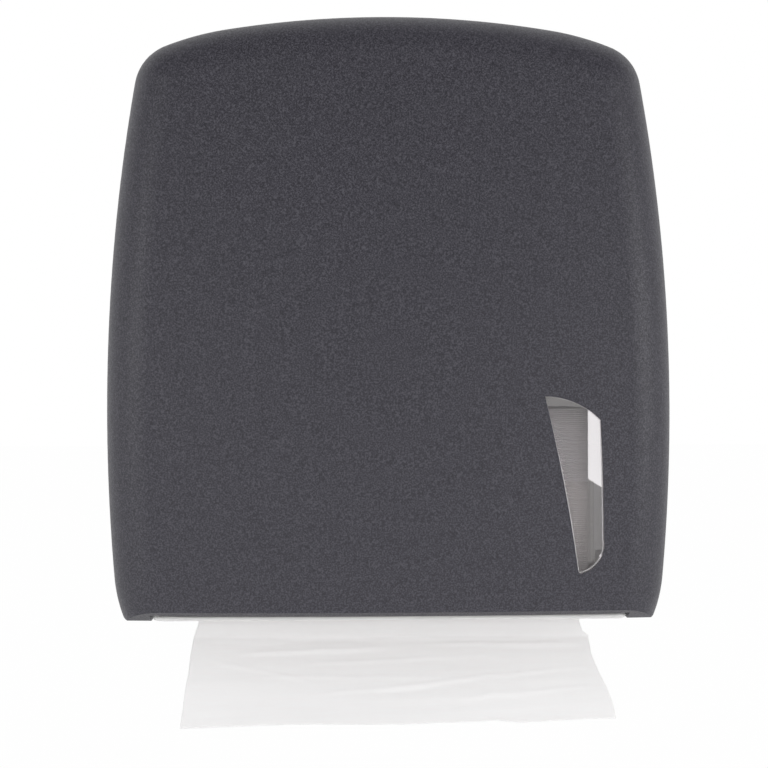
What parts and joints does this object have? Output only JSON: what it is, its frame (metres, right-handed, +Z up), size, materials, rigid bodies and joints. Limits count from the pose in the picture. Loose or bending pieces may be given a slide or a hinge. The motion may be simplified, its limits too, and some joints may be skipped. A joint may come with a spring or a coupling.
{
  "type": "paper towel dispenser",
  "caption": "Wall-mounted dispenser for folded paper hand towels, with a lift-down grey cover, a slanted refill window, a key lock and one towel hanging from the exit slot.",
  "frame": {"origin": "centre of the wall screw pattern, on the wall plane", "axes": "+Z up, +Y into the wall, front faces -Y, +X to the right seen from the front"},
  "size_m": [0.33, 0.1466, 0.4081],
  "materials": {
    "cover_plastic": "fine speckled grain",
    "clear_lens": "clear, slightly smoked",
    "pin_plastic": "moulded acetal",
    "white_plastic": "fine grain",
    "clouded_plastic": "clouded, see-through",
    "zinc_steel": "zinc plated",
    "lock_metal": "satin nickel",
    "stack_paper": "layered folded tissue",
    "towel_paper": "soft crimped tissue"
  },
  "bodies": {
    "dispenser": {"back_plate": "white_plastic", "exit_floor": "white_plastic", "floor_screws": "zinc_steel", "towel_basket": "clouded_plastic", "basket_screws": "zinc_steel", "hinge_pin_left": "pin_plastic", "hinge_pin_right": "pin_plastic", "lock_keeper": "zinc_steel", "keeper_screws": "zinc_steel", "towel_stack": "stack_paper", "hanging_towel": "towel_paper"},
    "cover": {"front_cover": "cover_plastic", "window_lens": "clear_lens", "lock_body": "lock_metal", "lock_nut": "zinc_steel"},
    "lock_plug": {"lock_barrel": "lock_metal", "stop_washer": "zinc_steel", "lock_cam": "zinc_steel", "cam_screw": "zinc_steel"}
  },
  "joints": [
    {"name": "cover_hinge", "type": "hinge", "parent": "dispenser", "child": "cover", "pos_m": [0, -0.014, -0.1635], "axis": [1, 0, 0], "range_deg": [0, 90], "deforming": ["hanging_towel"]},
    {"name": "lock_turn", "type": "hinge", "parent": "cover", "child": "lock_plug", "pos_m": [0, -0.026, 0.1765], "axis": [0, 0, -1], "range_deg": [0, 90]}
  ]
}
